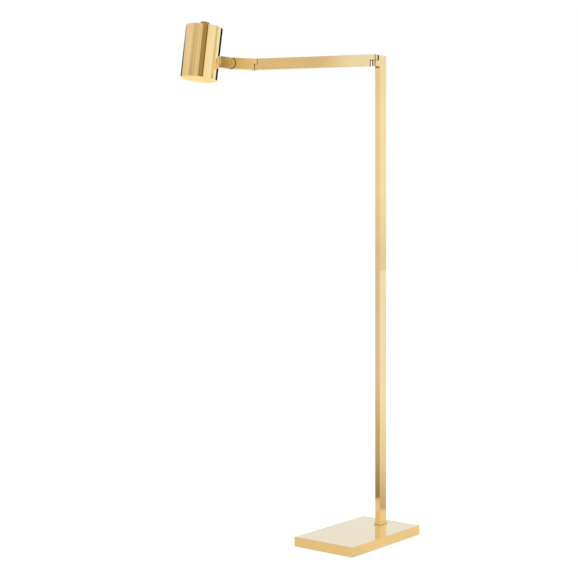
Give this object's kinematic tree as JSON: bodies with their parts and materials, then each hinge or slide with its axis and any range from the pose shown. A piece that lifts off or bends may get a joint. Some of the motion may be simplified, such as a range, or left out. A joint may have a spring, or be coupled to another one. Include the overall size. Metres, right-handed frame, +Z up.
{
  "type": "adjustable arm floor lamp",
  "caption": "Brass floor lamp with a weighted slab base, bar column, two hinged flat-bar arms and a tilting open cylinder head with a turn knob on top.",
  "frame": {"origin": "centre of the underside of the base, on the floor", "axes": "+Z up; +Y along the long side of the base, from its centre towards the column; +X across the base. With the arms straight they point towards -Y."},
  "size_m": [0.5208, 0.3947, 1.3565],
  "materials": {
    "polished_brass": "polished, lacquered",
    "dark_brass": "dark, satin",
    "plated_steel": "zinc plated",
    "cast_iron": "as cast",
    "bronze": "plain",
    "nickel": "nickel plated",
    "felt": "felt",
    "black_plastic": "matte",
    "porcelain": "glazed",
    "opal_glass": "opal"
  },
  "bodies": {
    "base": {"base_shell": "polished_brass", "base_weight": "cast_iron", "base_pad": "felt", "cord_bushing": "black_plastic", "foot_bolt": "plated_steel", "foot_washer": "plated_steel", "column_collar": "polished_brass", "column_tube": "polished_brass", "foot_plug": "plated_steel", "column_stub": "polished_brass", "stub_screw_upper": "plated_steel", "stub_screw_lower": "plated_steel", "column_hinge_screw": "polished_brass", "column_hinge_friction_washer": "bronze", "column_hinge_spring_washer": "plated_steel", "column_hinge_nut": "plated_steel", "column_flex": "black_plastic"},
    "arm": {"arm_column_fitting": "polished_brass", "arm_tube": "polished_brass", "arm_elbow_fitting": "polished_brass", "arm_column_grub": "plated_steel", "arm_elbow_grub": "plated_steel", "arm_flex": "black_plastic", "elbow_hinge_screw": "polished_brass", "elbow_hinge_friction_washer": "bronze", "elbow_hinge_spring_washer": "plated_steel", "elbow_hinge_nut": "plated_steel"},
    "link": {"link_elbow_fitting": "polished_brass", "link_tube": "polished_brass", "link_tilt_fitting": "polished_brass", "link_elbow_grub": "plated_steel", "link_tilt_grub": "plated_steel", "tilt_hinge_screw": "polished_brass", "tilt_hinge_friction_washer": "bronze", "tilt_hinge_spring_washer": "plated_steel", "tilt_hinge_nut": "plated_steel"},
    "head": {"head_neck": "polished_brass", "neck_boss": "polished_brass", "neck_nipple": "plated_steel", "neck_washer": "plated_steel", "neck_nut": "plated_steel", "shade": "polished_brass", "holder_bracket": "plated_steel", "switch_body": "black_plastic", "switch_nut": "plated_steel", "lamp_holder": "porcelain", "holder_screw_front": "plated_steel", "holder_screw_back": "plated_steel", "bulb_cap": "nickel", "bulb_globe": "opal_glass"},
    "knob": {"switch_knob": "dark_brass", "switch_shaft": "plated_steel", "knob_grub": "plated_steel"}
  },
  "joints": [
    {"name": "column_swing", "type": "hinge", "parent": "base", "child": "arm", "pos_m": [0, 0.076, 1.249], "axis": [0, 0, 1], "range_deg": [-20.8, 149.2]},
    {"name": "elbow_swing", "type": "hinge", "parent": "arm", "child": "link", "pos_m": [-0.29125, -0.0648, 1.249], "axis": [0, 0, 1], "range_deg": [-88.7, 31.3]},
    {"name": "head_tilt", "type": "hinge", "parent": "link", "child": "head", "pos_m": [-0.33393, -0.12463, 1.249], "axis": [0.8141, -0.5807, 0], "range_deg": [-43.6, 56.4]},
    {"name": "knob_turn", "type": "hinge", "parent": "head", "child": "knob", "pos_m": [-0.37837, -0.18693, 1.25758], "axis": [0.0647, 0.0907, 0.9938], "range_deg": [0, 270]}
  ]
}
